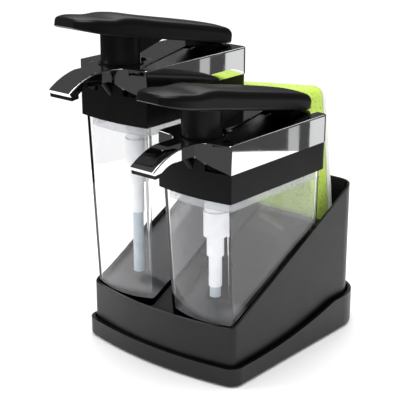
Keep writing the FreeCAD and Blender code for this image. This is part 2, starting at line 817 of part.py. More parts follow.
def lid_plug(prefix):
    """The wall that goes down inside the bottle's mouth."""
    side = "bottle_half_width - bottle_wall - plug_fit"
    front = "bottle_front + bottle_wall + plug_front_fit"
    back = "bottle_back - bottle_wall - plug_fit"
    corner = "bottle_back_corner - bottle_wall"
    outer = rounded_slab(prefix + "_plug_outer", bowed_plan(side, front, back, "bottle_bow"),
                         "-plug_reach", "plug_reach + lid_rise", "inner_corner", corner)
    inner = rounded_slab(prefix + "_plug_inner",
                         bowed_plan(f"{side} - plug_wall", f"{front} + plug_wall", f"{back} - plug_wall",
                                    "bottle_bow"),
                         "-plug_reach - overrun", "plug_reach + lid_rise + 2 * overrun",
                         "inner_corner", f"{corner} - plug_wall / 2")
    return combine("Part::Cut", prefix + "_plug_wall", outer, inner)


# Chrome cover, nozzle and guide ring

def cover_plan(inset):
    """The cover seen from above: square at the back, swept into the spout at the front."""
    spout = f"spout_half_width - {inset}"
    shoulder = f"cover_shoulder_width - {inset} / 2"
    side = f"collar_half_width - {inset}"
    nose = "spout_nose - overrun"
    shoulder_line = f"cover_shoulder + {inset}"
    return [(f"-({spout})", nose), (spout, nose), (spout, "spout_root", "-cover_sweep"),
            (shoulder, shoulder_line), (side, f"{inset}"), (side, f"collar_depth - {inset}"),
            (f"-({side})", f"collar_depth - {inset}"), (f"-({side})", f"{inset}"),
            (f"-({shoulder})", shoulder_line, "-cover_sweep"), (f"-({spout})", "spout_root")]


def stadium(radius):
    """A round opening drawn out along Y, as far as the column swings."""
    bow = quarter_bow(radius)
    return [(radius, "deck_hole_front"), (radius, "deck_hole_back", bow),
            ("0", f"deck_hole_back + ({radius})", bow), (f"-({radius})", "deck_hole_back"),
            (f"-({radius})", "deck_hole_front", bow), ("0", f"deck_hole_front - ({radius})", bow)]


def web_slot(name):
    return box(name, ("-web_slot_half_width", "web_slot_half_width"), ("deck_hole_back", "web_slot_end"),
               ("deck - overrun", "deck + overrun"))


def cover(prefix):
    """The chrome shell over the lid, with its bill of a spout open below."""
    outer_plan = slab(prefix + "_cover_plan", cover_plan("0"), "collar_height", "cover_height + overrun")
    side = value("collar_half_width") - value("tolerance")
    middle = value("collar_depth / 2")
    round_edges(outer_plan, "cover_corner",
                lambda edge: upright(edge) and abs(edge.CenterOfMass.x) > side and edge.CenterOfMass.y < middle)
    round_edges(outer_plan, "cover_back_corner",
                lambda edge: upright(edge) and abs(edge.CenterOfMass.x) > side and edge.CenterOfMass.y > middle)
    profile = prism(prefix + "_cover_profile", [
        ("collar_depth + overrun", "collar_height"), ("collar_depth + overrun", "deck"),
        ("spout_level_end", "deck", "spout_crown"), ("spout_nose", "deck - spout_nose_drop"),
        ("spout_tip", "deck - spout_tip_drop"), ("spout_heel", "deck - spout_heel_drop", "-spout_under_sweep"),
        ("spout_under_start", "deck - spout_thickness"),
        ("spout_root", "deck - spout_thickness", "-spout_arch_sweep"), ("0", "collar_height")],
        "collar_half_width + overrun")
    form = combine("Part::Common", prefix + "_cover_form", outer_plan, profile)
    inner_plan = slab(prefix + "_cover_inner_plan", cover_plan("cover_wall"), "collar_height - overrun",
                      "cover_height + overrun")
    low = "collar_height - 2 * overrun"
    inner_profile = prism(prefix + "_cover_inner_profile", [
        ("collar_depth", low), ("collar_depth", "deck - cover_wall"),
        ("spout_level_end", "deck - cover_wall", "spout_crown"),
        ("spout_nose + cover_wall", "deck - spout_nose_drop - cover_wall / 2"),
        ("spout_tip + cover_wall", "deck - spout_tip_drop"), ("spout_tip + cover_wall", low)],
        "collar_half_width")
    space = combine("Part::Common", prefix + "_cover_space", inner_plan, inner_profile)
    top = value("deck")

    def outer_top(edge):
        box_of = edge.BoundBox
        along_x = box_of.XLength > value("straight_share") * edge.Length and box_of.YMax < value("spout_root")
        near = value("tolerance")
        return not along_x and box_of.ZMax > top - near and box_of.ZLength < value("spout_nose_drop") + near

    rounded = round_piece(form, prefix + "_cover_rounded", "cover_edge", outer_top)
    shell = combine("Part::Cut", prefix + "_cover_shell", rounded, space)
    opening = slab(prefix + "_deck_opening", stadium("deck_hole_radius"), "deck - overrun", "2 * overrun")
    cuts = joined(prefix + "_deck_cuts", [opening, web_slot(prefix + "_web_slot")])
    return combine("Part::Cut", prefix + "_cover_open", shell, cuts)


def guide_ring(prefix):
    """The low ring that frames the column's opening on the deck."""
    outer = slab(prefix + "_ring_outer", stadium("deck_hole_radius + ring_width"), "deck", "ring_height")
    inner = slab(prefix + "_ring_inner", stadium("deck_hole_radius"), "deck - overrun", "2 * overrun")
    cuts = joined(prefix + "_ring_cuts", [inner, web_slot(prefix + "_ring_slot")])
    return combine("Part::Cut", prefix + "_ring", outer, cuts)


def nozzle(prefix):
    """The insert that fills the spout from below, bored for the outlet tube and the outlet, with a lip."""
    inset = "(cover_wall + nozzle_fit)"
    top = f"deck - {inset}"
    foot = "deck - spout_thickness - nozzle_lip"
    filling = prism(prefix + "_nozzle_body", [
        ("nozzle_start", foot), ("nozzle_start", top), ("spout_level_end", top, "spout_crown"),
        (f"spout_nose + {inset} + nozzle_fit", "deck - spout_nose_drop - cover_wall / 2 - nozzle_fit"),
        (f"spout_tip + {inset}", "deck - spout_tip_drop - nozzle_lip"),
        ("spout_heel", "deck - spout_heel_drop - nozzle_lip", "-spout_under_sweep"),
        ("spout_under_start", foot)], f"spout_half_width - {inset}")
    lip = prism(prefix + "_nozzle_lip", [
        ("spout_tip", "deck - spout_tip_drop - lip_gap"), ("spout_tip + lip_lean", "deck - spout_tip_drop - lip_height"),
        ("spout_heel", "deck - spout_heel_drop - lip_height"), ("spout_heel", "deck - spout_heel_drop - lip_gap")],
        "spout_half_width")
    forward = FreeCAD.Vector(0, -1, 0)
    down = FreeCAD.Vector(0, 0, -1)
    slope = FreeCAD.Vector(0, value("outlet_place - nozzle_bend"), value("outlet_level - duct_high"))
    socket = rod(prefix + "_socket", forward, "duct_radius + running_gap",
                 "nozzle_start - duct_end + overrun", y="nozzle_start + overrun", z="duct_high")
    bore = rod(prefix + "_nozzle_bore", forward, "nozzle_bore_radius", "duct_end - nozzle_bend",
               y="duct_end", z="duct_high")
    fall = rod(prefix + "_nozzle_fall", slope, "nozzle_bore_radius",
               "sqrt((outlet_place - nozzle_bend)^2 + (outlet_level - duct_high)^2)", y="nozzle_bend", z="duct_high")
    mouth = rod(prefix + "_mouth", down, "nozzle_outlet_radius", "lip_height + overrun", y="outlet_place",
                z="outlet_level")
    piece = combine("Part::Fuse", prefix + "_nozzle_lipped", filling, lip)
    return combine("Part::Cut", prefix + "_nozzle_piece", piece,
                   joined(prefix + "_nozzle_cuts", [socket, bore, fall, mouth]))


# Lever and hinge, in the lever's own frame

def lever_section(body, name):
    """A crowned section with rounded corners, across the lever at its place."""
    half = f"{name}_half"
    low = f"{name}_low"
    high = f"{name}_high"
    foot_round = f"(lever_foot_round_share * ({high} - {low}))"
    top_round = f"(lever_top_round_share * ({high} - {low}))"
    foot_bow = quarter_bow(foot_round)
    top_bow = quarter_bow(top_round)
    return outline(sketch(body, "XZ_Plane", f"-{name}_at"), [
        (f"-({half} - {foot_round})", low), (f"{half} - {foot_round}", low, foot_bow),
        (half, f"{low} + {foot_round}"), (half, f"{high} - {top_round}", top_bow),
        (f"{half} - {top_round}", high, "lever_crown"), (f"-({half} - {top_round})", high, top_bow),
        (f"-{half}", f"{high} - {top_round}"), (f"-{half}", f"{low} + {foot_round}", foot_bow)])


def lever(prefix):
    """The paddle: a crowned shell with a dipped finger rest and a rolled rear end, open below."""
    form = new_body(prefix + "_lever_form")
    drawings = [lever_section(form, name) for name in LEVER_SECTIONS]
    smooth_loft(form, drawings)
    inside = [(f"{name}_at", f"{name}_high - lever_wall") for name in ("saddle", "spine", "crest", "brow", "dip")]
    hollow = prism(prefix + "_lever_hollow", [
        ("lever_rear - lever_wall", "lever_under - overrun"),
        ("lever_rear - lever_wall", "lever_under", "lever_rear_inner_round"), *inside,
        ("dip_at", "lever_under - overrun")], "lever_half_width - lever_wall")
    return combine("Part::Cut", prefix + "_lever_shell", form, hollow)


def column_bar(name, radius, start):
    """A round bar that stands upright while the lever rests, from below the column's foot up into the plate."""
    bar = DOC.addObject("Part::Cylinder", name)
    bar.Placement = FreeCAD.Placement(FreeCAD.Vector(), FreeCAD.Rotation(FreeCAD.Vector(1, 0, 0), value("lever_tilt")))
    bind(bar, Radius=radius, Height=f"column_length + ({start})", Placement__Rotation__Angle="lever_tilt")
    return place(bar, y=f"column_foot + ({start}) * sin(lever_tilt)", z=f"column_low - ({start}) * cos(lever_tilt)")


def lever_frame(prefix):
    """The plate under the paddle, with the slotted column, its two webs and the hinge cheeks."""
    body = new_body(prefix + "_lever_frame_body")
    half = "lever_half_width - lever_wall - frame_fit"
    pad(body, outline(sketch(body, "XY_Plane", "lever_under"), [
        (f"-({half})", "frame_front"), (half, "frame_front"), (half, "frame_rear"),
        (f"-({half})", "frame_rear")]), "frame_plate")
    root = "column_root + column_radius - column_wall"
    for lift in ("web_offset", "-web_offset - web_thickness"):
        web = outline(sketch(body, "YZ_Plane", lift), [
            (root, "lever_under - web_depth"), ("column_root + column_radius + web_length", "lever_under"),
            (root, "lever_under")])
        pad(body, web, "web_thickness")
    for lift in ("cheek_inner", "-cheek_inner - cheek_thickness"):
        cheek = outline(sketch(body, "YZ_Plane", lift), [
            ("cheek_front", "cheek_low"), ("cheek_rear", "cheek_low"), ("cheek_rear", "cheek_high"),
            ("cheek_front", "cheek_high")])
        circle(cheek, "0", "0", "pin_radius")
        pad(body, cheek, "cheek_thickness")
    slot = "stem_radius + column_slot_gap"
    cuts = joined(prefix + "_column_cuts", [
        column_bar(prefix + "_column_bore", "column_radius - column_wall", "overrun"),
        box(prefix + "_column_slot", (f"-({slot})", slot), ("column_foot", "column_foot + column_radius + overrun"),
            ("column_low - overrun", "lever_under"))])
    column = combine("Part::Cut", prefix + "_column", column_bar(prefix + "_column_bar", "column_radius", "0"), cuts)
    return combine("Part::Fuse", prefix + "_lever_frame_piece", body, column)


def hinge_foot(prefix):
    """The bracket on the deck, with the ear that the pin runs in."""
    body = new_body(prefix + "_hinge_foot_body")
    pad(body, outline(sketch(body, "XY_Plane", "-pivot_height"), [
        ("-foot_half_width", "-foot_front"), ("foot_half_width", "-foot_front"),
        ("foot_half_width", "foot_rear"), ("-foot_half_width", "foot_rear")]), "foot_thickness")
    ear = outline(sketch(body, "YZ_Plane"), [
        ("-ear_radius", "foot_thickness - pivot_height"), ("ear_radius", "foot_thickness - pivot_height"),
        ("ear_radius", "0", quarter_bow("ear_radius")), ("0", "ear_radius", quarter_bow("ear_radius")),
        ("-ear_radius", "0")])
    circle(ear, "0", "0", "pin_radius + running_gap")
    pad(body, ear, "2 * ear_half_width", side="Symmetric")
    return body


def at_pivot(item, x, lift, tilted):
    """Sets a hinge piece on the pivot, tilted with the lever or upright."""
    if tilted:
        tilt = FreeCAD.Rotation(FreeCAD.Vector(1, 0, 0), -value("lever_tilt"))
        item.Placement = FreeCAD.Placement(FreeCAD.Vector(), tilt)
        bind(item, Placement__Rotation__Angle="-lever_tilt")
    return place(item, x, "front_line + pivot_back", f"{lift} + pivot_level")


# Pump, about its own upright axis

def pump_nut(prefix):
    """The union nut that holds the cylinder's flange up to the lid's boss."""
    shelf = "-boss_reach - flange_thickness"
    return turned(prefix + "_nut", [
        ("barrel_radius + running_gap", "-nut_reach"), ("nut_skirt_radius", "-nut_reach"),
        ("nut_skirt_radius", "-nut_shoulder"), ("nut_radius", "-nut_shoulder"),
        ("nut_radius", "lid_rise - seat_gap"), ("boss_radius + running_gap", "lid_rise - seat_gap"),
        ("boss_radius + running_gap", shelf), ("barrel_radius + running_gap", shelf)])


def pump_cylinder(prefix):
    """The stepped cylinder: flange, piston bore, ball pocket with its cone seat, and the tube's spigot."""
    shelf = "-boss_reach - flange_thickness"
    return turned(prefix + "_cylinder", [
        ("inlet_radius", "-spigot_reach"), ("spigot_radius", "-spigot_reach"), ("spigot_radius", "-valve_reach"),
        ("valve_radius", "-valve_reach"), ("valve_radius", "-barrel_reach"), ("barrel_radius", "-barrel_reach"),
        ("barrel_radius", shelf), ("boss_radius", shelf), ("boss_radius", "-boss_reach"),
        ("chamber_radius", "-boss_reach"), ("chamber_radius", "-chamber_reach"),
        ("pocket_radius", "-chamber_reach"), ("pocket_radius", "-pocket_reach"),
        ("inlet_radius", "-seat_reach")])


def piston_stem(prefix):
    """The hollow rod that the lever pushes, with its outlet port."""
    low = "-seal_top - seal_length"
    bore_top = "stem_port + stem_bore_radius"
    body = turned(prefix + "_stem", [
        ("stem_bore_radius", low), ("stem_radius", low), ("stem_radius", "stem_top"), ("0", "stem_top"),
        ("0", bore_top), ("stem_bore_radius", bore_top)])
    port = circle(sketch(body, "YZ_Plane"), "0", "stem_port", "port_radius")
    pocket(body, port, "4 * stem_radius", side="Symmetric")
    return body


def piston_seal(prefix):
    low = "-seal_top - seal_length"
    inner = "stem_radius + running_gap"
    outer = "chamber_radius - running_gap"
    return turned(prefix + "_seal", [(inner, low), (outer, low), (outer, "-seal_top"), (inner, "-seal_top")])


def fillet_arc(start, corner, end):
    """The arc that is tangent to both legs of a corner and meets them at their ends."""
    back = (start - corner).normalize()
    ahead = (end - corner).normalize()
    half_angle = back.getAngle(ahead) / 2
    radius = start.distanceToPoint(corner) * math.tan(half_angle)
    middle = corner + (back + ahead).normalize() * (radius / math.sin(half_angle) - radius)
    return Part.Arc(start, middle, end).toShape()


def biarc(start, start_way, end, end_way):
    """Two tangent arcs from a point and its direction to another point and its direction."""
    chord = end - start
    ways = start_way + end_way
    square = ways.dot(ways) - 4
    cross = chord.dot(ways)
    reach = (cross - math.sqrt(cross * cross - square * chord.dot(chord))) / square
    first_corner = start + start_way * reach
    second_corner = end - end_way * reach
    meeting = (first_corner + second_corner) * 0.5
    return [fillet_arc(start, first_corner, meeting), fillet_arc(meeting, second_corner, end)]


def return_spring(prefix):
    """A round-wire coil of quarter-turn biarcs between the cylinder's step and the piston seal."""
    wire = value("spring_wire_radius")
    coil = value("spring_radius")
    turns = int(value("spring_turns"))
    rise = value("chamber_reach - seal_top - seal_length - 2 * seat_gap - 2 * spring_wire_radius") / (4 * turns)
    spots = []
    for step in range(4 * turns + 1):
        angle = step * math.pi / 2
        spot = FreeCAD.Vector(coil * math.cos(angle), coil * math.sin(angle), rise * step)
        way = FreeCAD.Vector(-coil * math.sin(angle), coil * math.cos(angle), rise * 2 / math.pi).normalize()
        spots.append((spot, way))
    arcs = [arc for start, end in zip(spots, spots[1:]) for arc in biarc(*start, *end)]
    section = Part.Wire(Part.makeCircle(wire, *spots[0]))
    spring = DOC.addObject("Part::Feature", prefix + "_spring")
    spring.Shape = Part.Wire(arcs).makePipeShell([section], True, False)
    return spring


def inlet_ball(prefix):
    """The ball that seals the inlet, at rest on its cone seat."""
    ball = DOC.addObject("Part::Sphere", prefix + "_ball")
    bind(ball, Radius="ball_radius")
    return ball


def dip_tube(prefix, lift):
    """The tube from the cylinder's spigot down to the low front of the bottle."""
    floor = ramp_line("pump_place + dip_tube_radius", "seat_gap + bottle_floor + dip_tube_clearance")
    low = f"{floor} - {lift}"
    inner = "spigot_radius + running_gap"
    return turned(prefix + "_tube", [(inner, low), ("dip_tube_radius", low), ("dip_tube_radius", "-valve_reach"),
                                     (inner, "-valve_reach")])


def outlet_housing(prefix):
    """The chamber on the lid that takes the soap from the stem's port to the outlet tube."""
    cap = "housing_top - housing_cap"
    gland = "stem_radius + running_gap"
    body = turned(prefix + "_housing_body", [
        ("housing_bore_radius", "lid_top"), ("housing_flange_radius", "lid_top"),
        ("housing_flange_radius", "lid_top + housing_flange"), ("housing_radius", "lid_top + housing_flange"),
        ("housing_radius", "housing_top"), (gland, "housing_top"), (gland, cap), ("housing_bore_radius", cap)])
    port = rod(prefix + "_housing_port", FreeCAD.Vector(0, -1, 0), "duct_radius + running_gap",
               "housing_radius + overrun", z="duct_low")
    return combine("Part::Cut", prefix + "_housing", body, port)


def bent_path(points, radius):
    """Straight runs through points in the Y-Z plane, joined by tangent arcs of one radius."""
    spots = [FreeCAD.Vector(0, y, z) for y, z in points]
    edges = []
    start = spots[0]
    for before, corner, after in zip(spots, spots[1:], spots[2:]):
        back = (before - corner).normalize()
        ahead = (after - corner).normalize()
        reach = radius / math.tan(back.getAngle(ahead) / 2)
        edges.append(Part.LineSegment(start, corner + back * reach).toShape())
        edges.append(fillet_arc(corner + back * reach, corner, corner + ahead * reach))
        start = corner + ahead * reach
    edges.append(Part.LineSegment(start, spots[-1]).toShape())
    return Part.Wire(edges)


def duct_pipe(radius):
    """A round bar along the outlet tube's route, from the housing through the lid's front wall to the nozzle."""
    root = value("pump_place - housing_bore_radius - running_gap")
    low = value("duct_low")
    high = value("duct_high")
    route = bent_path([(root, low), (value("duct_bend_start"), low), (value("duct_bend_end"), high),
                       (value("duct_end"), high)], value("duct_turn"))
    section = Part.Wire(Part.makeCircle(value(radius), FreeCAD.Vector(0, root, low), FreeCAD.Vector(0, 1, 0)))
    return route.makePipeShell([section], True, True)


def outlet_tube(prefix):
    """The bent tube from the housing to the nozzle."""
    tube = DOC.addObject("Part::Feature", prefix + "_duct")
    tube.Shape = duct_pipe("duct_radius").cut(duct_pipe("duct_bore_radius"))
    return tube


# Whole assembly

def dispenser(prefix, x, lift):
    """One bottle with its lid, cover, lever and pump, at its place in the caddy."""
    standing = {
        "bottle": (bottle(prefix, lift), "0"),
        "collar": (collar(prefix), lift),
        "lid_plug": (lid_plug(prefix), lift),
        "cover": (cover(prefix), lift),
        "nozzle": (nozzle(prefix), lift),
        "guide_ring": (guide_ring(prefix), lift),
        "outlet_tube": (outlet_tube(prefix), lift),
    }
    for name, (item, level) in standing.items():
        place(finish(item, f"{prefix}_{name}"), x, "front_line", level)
    at_pivot(finish(hinge_foot(prefix), prefix + "_hinge_foot"), x, lift, False)
    at_pivot(finish(lever(prefix), prefix + "_lever"), x, lift, True)
    at_pivot(finish(lever_frame(prefix), prefix + "_lever_frame"), x, lift, True)
    pin = rod(prefix + "_pin", FreeCAD.Vector(1, 0, 0), "pin_radius", "2 * pin_half_length",
              f"{x} - pin_half_length", "front_line + pivot_back", f"{lift} + pivot_level")
    finish(pin, prefix + "_hinge_pin")
    upright_pieces = {
        "pump_nut": pump_nut(prefix),
        "pump_cylinder": pump_cylinder(prefix),
        "outlet_housing": outlet_housing(prefix),
        "dip_tube": dip_tube(prefix, lift),
        "piston_stem": piston_stem(prefix),
        "piston_seal": piston_seal(prefix),
    }
    for name, item in upright_pieces.items():
        place(finish(item, f"{prefix}_{name}"), x, "front_line + pump_place", lift)
    ball = finish(inlet_ball(prefix), prefix + "_inlet_ball")
    place(ball, x, "front_line + pump_place", f"{lift} + ball_level")
    spring = finish(return_spring(prefix), prefix + "_return_spring")
    place(spring, x, "front_line + pump_place", f"{lift} - chamber_reach + seat_gap + spring_wire_radius")


place(finish(tray_pads(), "tray_pads"), y="front_line")
place(finish(drip_tray(), "drip_tray"), y="front_line")
place(finish(caddy_body(), "caddy_body"), y="front_line")
stand_sponge(finish(sponge_layer("foam", "sponge_foam"), "sponge_foam"), "front_line + sponge_front")
stand_sponge(finish(sponge_layer("backing", "sponge_backing"), "sponge_backing"),
             "front_line + sponge_front + sponge_foam")
dispenser("tall", "-dispenser_pitch / 2", "tall_lift")
dispenser("short", "dispenser_pitch / 2", "short_lift")
DOC.recompute()

# Checks and export
for item in DOC.Objects:
    if "Invalid" in item.State or "Error" in item.State:
        raise ValueError(f"{item.Name} is not built: {item.State}")
os.makedirs("parts", exist_ok=True)
for item in NODES:
    if item.Shape.isNull() or not item.Shape.isValid() or not item.Shape.Solids:
        raise ValueError(f"{item.Label} has no valid solid")
    item.Shape.exportStep(f"parts/{item.Label}.step")
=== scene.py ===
"""Looks of the soap pump caddy: two lever dispensers, a ramped caddy with a sponge, and a drip tray."""
import json
import math

import bmesh
import bpy
from mathutils import Matrix, Vector, noise


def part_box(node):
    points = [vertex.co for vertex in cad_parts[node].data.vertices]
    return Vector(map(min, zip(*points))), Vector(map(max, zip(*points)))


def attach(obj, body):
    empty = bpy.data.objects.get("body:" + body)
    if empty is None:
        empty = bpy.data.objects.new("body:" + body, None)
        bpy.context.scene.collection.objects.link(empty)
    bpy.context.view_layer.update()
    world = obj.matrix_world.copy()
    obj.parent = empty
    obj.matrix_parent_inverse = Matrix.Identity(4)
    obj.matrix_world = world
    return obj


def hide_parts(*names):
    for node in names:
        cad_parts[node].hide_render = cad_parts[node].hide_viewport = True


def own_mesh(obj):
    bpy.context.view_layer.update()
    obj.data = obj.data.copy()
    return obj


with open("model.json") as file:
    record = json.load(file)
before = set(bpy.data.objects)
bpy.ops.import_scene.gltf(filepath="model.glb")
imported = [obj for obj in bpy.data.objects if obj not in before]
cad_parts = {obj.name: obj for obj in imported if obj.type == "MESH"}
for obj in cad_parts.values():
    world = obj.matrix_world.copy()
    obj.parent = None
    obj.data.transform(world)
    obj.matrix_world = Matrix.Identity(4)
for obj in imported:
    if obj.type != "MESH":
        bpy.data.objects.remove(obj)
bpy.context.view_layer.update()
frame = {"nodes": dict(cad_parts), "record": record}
nodes = frame["nodes"]
scene = bpy.context.scene

MM = 0.001


# Shader maths

class Wire:
    """One output socket, so that shader maths reads as plain expressions."""

    def __init__(self, finish, socket):
        self.finish = finish
        self.socket = socket

    def maths(self, operation, *values):
        inputs = dict(enumerate(values))
        return self.finish.node("ShaderNodeMath", {"operation": operation}, inputs)

    def __add__(self, other):
        return self.maths("ADD", self, other)

    __radd__ = __add__

    def __mul__(self, other):
        return self.maths("MULTIPLY", self, other)

    __rmul__ = __mul__


class Finish:
    """A material under construction."""

    def __init__(self, name):
        self.material = bpy.data.materials.new(name)
        self.material.use_nodes = True
        self.tree = self.material.node_tree
        self.tree.nodes.clear()

    def node(self, kind, settings=None, inputs=None, output=0):
        """Adds a node: its settings first, then the values or links of its sockets."""
        made = self.tree.nodes.new(kind)
        for name, value in (settings or {}).items():
            if name == "stops":
                self.set_stops(made.color_ramp, value)
            else:
                setattr(made, name, value)
        for name, value in (inputs or {}).items():
            if isinstance(value, Wire):
                self.tree.links.new(value.socket, made.inputs[name])
            else:
                made.inputs[name].default_value = value
        return Wire(self, made.outputs[output]) if made.outputs else None

    @staticmethod
    def set_stops(ramp, stops):
        while len(ramp.elements) < len(stops):
            ramp.elements.new(1.0)
        for element, (place, colour) in zip(ramp.elements, stops):
            element.position = place
            element.color = (*colour, 1.0)

    def place(self):
        return self.node("ShaderNodeTexCoord", output="Object")

    def noise(self, scale, detail=2.0, roughness=0.5, stretch=None):
        """Noise of so many lumps to the metre."""
        place = self.place()
        if stretch:
            place = self.node("ShaderNodeMapping", None, {"Vector": place, "Scale": stretch})
        return self.node("ShaderNodeTexNoise", None,
                         {"Vector": place, "Scale": scale, "Detail": detail, "Roughness": roughness})

    def cells(self, scale):
        """Distance to the nearest of so many cell centres to the metre."""
        return self.node("ShaderNodeTexVoronoi", None, {"Vector": self.place(), "Scale": scale})

    def ramp(self, factor, stops):
        return self.node("ShaderNodeValToRGB", {"stops": stops}, {"Fac": factor})

    def limits(self, factor, low, high):
        """Stretches the part of a factor between two limits to the whole range."""
        return self.node("ShaderNodeMapRange", {"clamp": True},
                         {"Value": factor, "From Min": low, "From Max": high})

    def bump(self, height, depth, strength=1.0):
        return self.node("ShaderNodeBump", None, {"Height": height, "Distance": depth, "Strength": strength})

    def shader(self, **sockets):
        """The main shader; underscores in socket names stand for spaces."""
        inputs = {name.replace("_", " "): value for name, value in sockets.items()}
        return self.node("ShaderNodeBsdfPrincipled", None, inputs, "BSDF")

    def close(self, shader):
        self.node("ShaderNodeOutputMaterial", None, {"Surface": shader})
        return self.material

    def surface(self, **sockets):
        return self.close(self.shader(**sockets))


# Finishes

def moulded_black(name, dark, light, roughness, gloss, grain):
    """Moulded black plastic: fine spark-eroded grain, faint flow marks and a little handling sheen."""
    finish = Finish(name)
    flow = finish.noise(scale=38.0, detail=3.0, roughness=0.6)
    spark = finish.noise(scale=2600.0, detail=2.0, roughness=0.7)
    handling = finish.limits(finish.noise(scale=90.0, detail=4.0, roughness=0.65), low=0.35, high=0.7)
    colour = finish.ramp(flow, [(0.3, dark), (0.72, light)])
    height = spark * 0.8 + finish.noise(scale=700.0, detail=2.0) * 0.2
    return finish.surface(Base_Color=colour, Roughness=handling * 0.07 + roughness,
                          Normal=finish.bump(height, grain), Specular_IOR_Level=gloss)


def mirror_chrome(name):
    """Bright plating with the faintest haze of wiping."""
    finish = Finish(name)
    haze = finish.limits(finish.noise(scale=55.0, detail=5.0, roughness=0.65), low=0.45, high=0.8)
    cloud = finish.noise(scale=24.0, detail=2.0)
    tone = finish.ramp(cloud, [(0.3, (0.80, 0.805, 0.815)), (0.7, (0.86, 0.863, 0.868))])
    return finish.surface(Base_Color=tone, Metallic=1.0, Roughness=haze * 0.04 + 0.02)


def clear_wall(name):
    """Thick clear moulding with polished faces, which lets light in to what it holds."""
    finish = Finish(name)
    haze = finish.limits(finish.noise(scale=70.0, detail=4.0, roughness=0.6), low=0.5, high=0.85)
    cloud = finish.noise(scale=30.0, detail=1.0)
    tint = finish.ramp(cloud, [(0.3, (0.957, 0.954, 0.968)), (0.7, (0.968, 0.965, 0.976))])
    glass = finish.shader(Base_Color=tint, Transmission_Weight=1.0, IOR=1.45, Roughness=haze * 0.01 + 0.002)
    open_air = finish.node("ShaderNodeBsdfTransparent", None, {"Color": (0.96, 0.97, 0.98, 1.0)})
    shadow = finish.node("ShaderNodeLightPath", output="Is Shadow Ray")
    bounce = finish.node("ShaderNodeLightPath", output="Is Diffuse Ray")
    either = shadow.maths("MAXIMUM", shadow, bounce)
    return finish.close(finish.node("ShaderNodeMixShader", None, {0: either, 1: glass, 2: open_air}))


def gloss_white(name):
    """White injection-moulded pump plastic."""
    finish = Finish(name)
    flow = finish.noise(scale=120.0, detail=3.0)
    colour = finish.ramp(flow, [(0.3, (0.80, 0.80, 0.795)), (0.7, (0.88, 0.88, 0.875))])
    fine = finish.noise(scale=1500.0, detail=2.0)
    return finish.surface(Base_Color=colour, Roughness=flow * 0.12 + 0.25,
                          Normal=finish.bump(fine, 0.02 * MM), Subsurface_Weight=0.15,
                          Subsurface_Radius=(4.0 * MM, 4.0 * MM, 4.0 * MM))


def milky_tube(name):
    """Natural, slightly blue tubing that glows a little in the light."""
    finish = Finish(name)
    flow = finish.noise(scale=150.0, detail=3.0)
    colour = finish.ramp(flow, [(0.3, (0.40, 0.46, 0.50)), (0.7, (0.50, 0.56, 0.60))])
    return finish.surface(Base_Color=colour, Roughness=flow * 0.15 + 0.28, Subsurface_Weight=0.2,
                          Subsurface_Radius=(3.0 * MM, 3.0 * MM, 3.0 * MM))


def frosted_white(name):
    """The plug's see-through natural plastic, behind the bottle's wall."""
    finish = Finish(name)
    flow = finish.noise(scale=200.0, detail=3.0)
    colour = finish.ramp(flow, [(0.3, (0.55, 0.57, 0.59)), (0.7, (0.64, 0.66, 0.68))])
    return finish.surface(Base_Color=colour, Roughness=flow * 0.2 + 0.3, Alpha=flow * 0.1 + 0.3)


def drawn_steel(name):
    """Bright stainless wire and pins."""
    finish = Finish(name)
    draw = finish.noise(scale=900.0, detail=3.0, roughness=0.6, stretch=(0.15, 1.0, 1.0))
    colour = finish.ramp(draw, [(0.3, (0.50, 0.50, 0.49)), (0.7, (0.66, 0.66, 0.65))])
    return finish.surface(Base_Color=colour, Metallic=1.0, Roughness=draw * 0.2 + 0.2)


def soft_rubber(name):
    """Dull black rubber."""
    finish = Finish(name)
    bloom = finish.noise(scale=400.0, detail=4.0, roughness=0.7)
    colour = finish.ramp(bloom, [(0.3, (0.012, 0.012, 0.012)), (0.7, (0.03, 0.03, 0.03))])
    fine = finish.noise(scale=1800.0, detail=2.0)
    return finish.surface(Base_Color=colour, Roughness=bloom * 0.2 + 0.7, Normal=finish.bump(fine, 0.05 * MM))


def open_foam(name):
    """Lime sponge foam: round pores of mixed sizes, with painted shade darkening their insides."""
    finish = Finish(name)
    large = finish.limits(finish.cells(scale=330.0), low=0.12, high=0.42)
    small = finish.limits(finish.cells(scale=900.0), low=0.1, high=0.4)
    pore = large * 0.7 + small * 0.3
    # Painted shade: the colour darkens towards the middle of each pore, where the hollow would be in shadow;
    # the same pore pattern also sets the bump.
    colour = finish.ramp(pore, [(0.05, (0.22, 0.34, 0.012)), (0.5, (0.40, 0.58, 0.04)),
                                (0.9, (0.47, 0.66, 0.07))])
    return finish.surface(Base_Color=colour, Roughness=finish.noise(scale=300.0, detail=3.0) * 0.1 + 0.82,
                          Normal=finish.bump(pore, 0.6 * MM, 0.8), Sheen_Weight=0.25,
                          Subsurface_Weight=0.2, Subsurface_Radius=(4.0 * MM, 5.0 * MM, 1.0 * MM))


def felted_layer(name):
    """White non-woven layer: a tangle of fine fibres."""
    finish = Finish(name)
    tangle = finish.noise(scale=1100.0, detail=5.0, roughness=0.75, stretch=(1.0, 1.0, 0.35))
    cross = finish.noise(scale=1300.0, detail=5.0, roughness=0.75, stretch=(0.3, 1.0, 1.0))
    fibre = tangle * 0.5 + cross * 0.5
    colour = finish.ramp(fibre, [(0.3, (0.62, 0.64, 0.58)), (0.65, (0.88, 0.89, 0.84))])
    return finish.surface(Base_Color=colour, Roughness=fibre * 0.1 + 0.85,
                          Normal=finish.bump(fibre, 0.4 * MM), Sheen_Weight=0.3)


